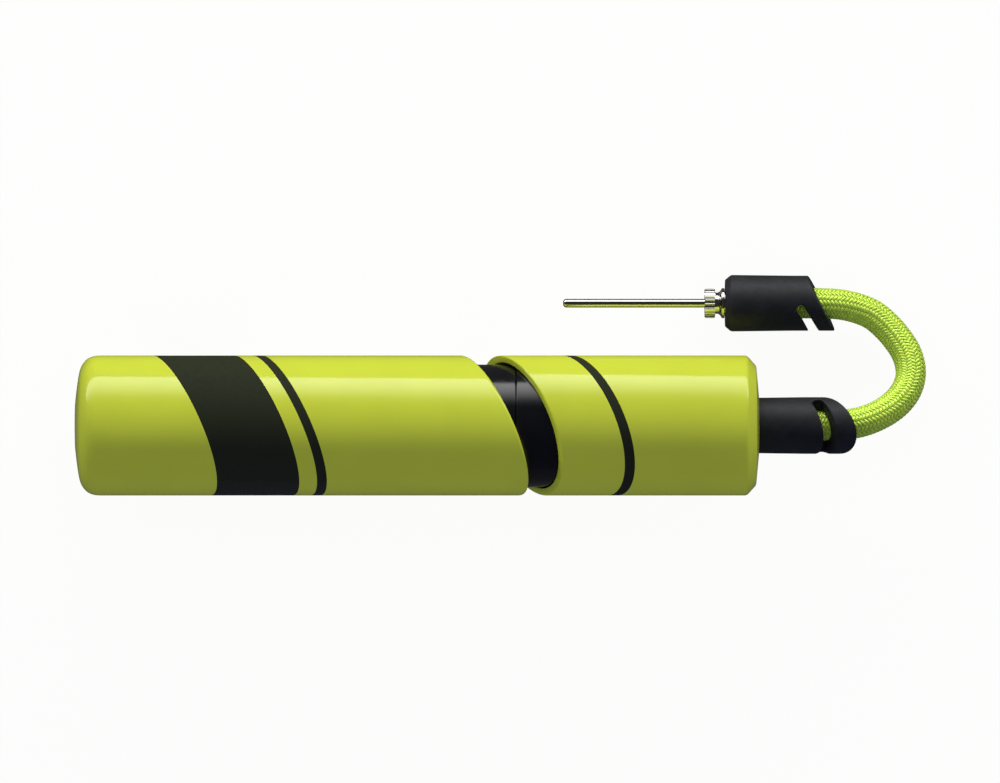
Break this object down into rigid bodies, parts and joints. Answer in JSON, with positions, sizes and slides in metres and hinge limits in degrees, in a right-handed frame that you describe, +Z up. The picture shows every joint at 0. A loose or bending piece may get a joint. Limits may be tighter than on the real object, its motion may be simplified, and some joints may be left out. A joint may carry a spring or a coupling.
{
  "type": "ball inflation pump",
  "caption": "Hand pump for balls: a sliding sleeve handle over a black barrel, with a braided hose and a screw-in inflating needle beside it.",
  "frame": {"origin": "under the middle of the pump's length and of its round body, on the surface that it lies on", "axes": "+X along the pump from the closed end of the handle to the hose, +Z up, +Y to the side where the needle end lies"},
  "size_m": [0.2342, 0.0608, 0.0385],
  "materials": {
    "volt_paint": "glossy yellow-green",
    "black_gloss": "glossy black",
    "black_rubber": "satin soft-touch black",
    "seal_rubber": "matt black seals",
    "braid": "two-tone green braid over a rubber tube",
    "nylon": "natural white",
    "nickel": "polished nickel plating",
    "steel": "drawn steel",
    "brass": "turned brass"
  },
  "bodies": {
    "barrel_body": {"front_shell": "volt_paint", "shell_liner": "black_gloss", "barrel_tube": "black_gloss", "rod_gland": "black_gloss", "glide_ring": "nylon", "rod_bush": "nylon", "stroke_buffer": "seal_rubber", "outlet_head": "black_gloss", "head_o_ring": "seal_rubber", "lock_ring": "black_gloss", "valve_retainer": "brass", "valve_spring": "steel"},
    "valve_body": {"valve_poppet": "nylon"},
    "handle_body": {"handle_sleeve": "volt_paint", "rod_anchor": "black_gloss", "rod_screw": "steel", "piston_rod": "steel", "stop_spacer": "nylon", "piston_body": "nylon", "piston_guide": "nylon", "cup_seal": "seal_rubber", "piston_washer": "steel", "piston_screw": "steel"},
    "outlet_washer_body": {"outlet_washer": "seal_rubber"},
    "hose_body": {"hose_insert": "brass", "hose_ferrule": "black_rubber", "hose": "braid", "needle_holder": "black_rubber", "needle_socket": "brass"},
    "needle_washer_body": {"needle_washer": "seal_rubber"},
    "needle_body": {"needle_base": "nickel", "needle_tube": "nickel"}
  },
  "joints": [
    {"name": "handle_pull", "type": "slide", "parent": "barrel_body", "child": "handle_body", "axis": [-1, 0, 0], "range_m": [0, 0.075]},
    {"name": "valve_lift", "type": "slide", "parent": "barrel_body", "child": "valve_body", "axis": [1, 0, 0], "range_m": [0, 0.0015], "stiffness_N_per_m": 60, "springref_m": -0.001, "deforming": ["valve_spring"]},
    {"name": "hose_draw", "type": "slide", "parent": "barrel_body", "child": "outlet_washer_body", "axis": [1, 0, 0], "range_m": [0, 0.00625]},
    {"name": "hose_turn", "type": "hinge", "parent": "outlet_washer_body", "child": "hose_body", "pos_m": [0.0905, 0, 0.01925], "axis": [1, 0, 0], "range_deg": [0, 1801]},
    {"name": "needle_draw", "type": "slide", "parent": "hose_body", "child": "needle_washer_body", "axis": [-1, 0, 0], "range_m": [0, 0.0056]},
    {"name": "needle_turn", "type": "hinge", "parent": "needle_washer_body", "child": "needle_body", "pos_m": [0.0848, 0.0337, 0.0078], "axis": [-1, 0, 0], "range_deg": [0, 2521]}
  ],
  "couplings": [
    {"joint": "hose_turn", "follows": "hose_draw", "rad_per_m": 5026.5},
    {"joint": "needle_turn", "follows": "needle_draw", "rad_per_m": 7854}
  ]
}
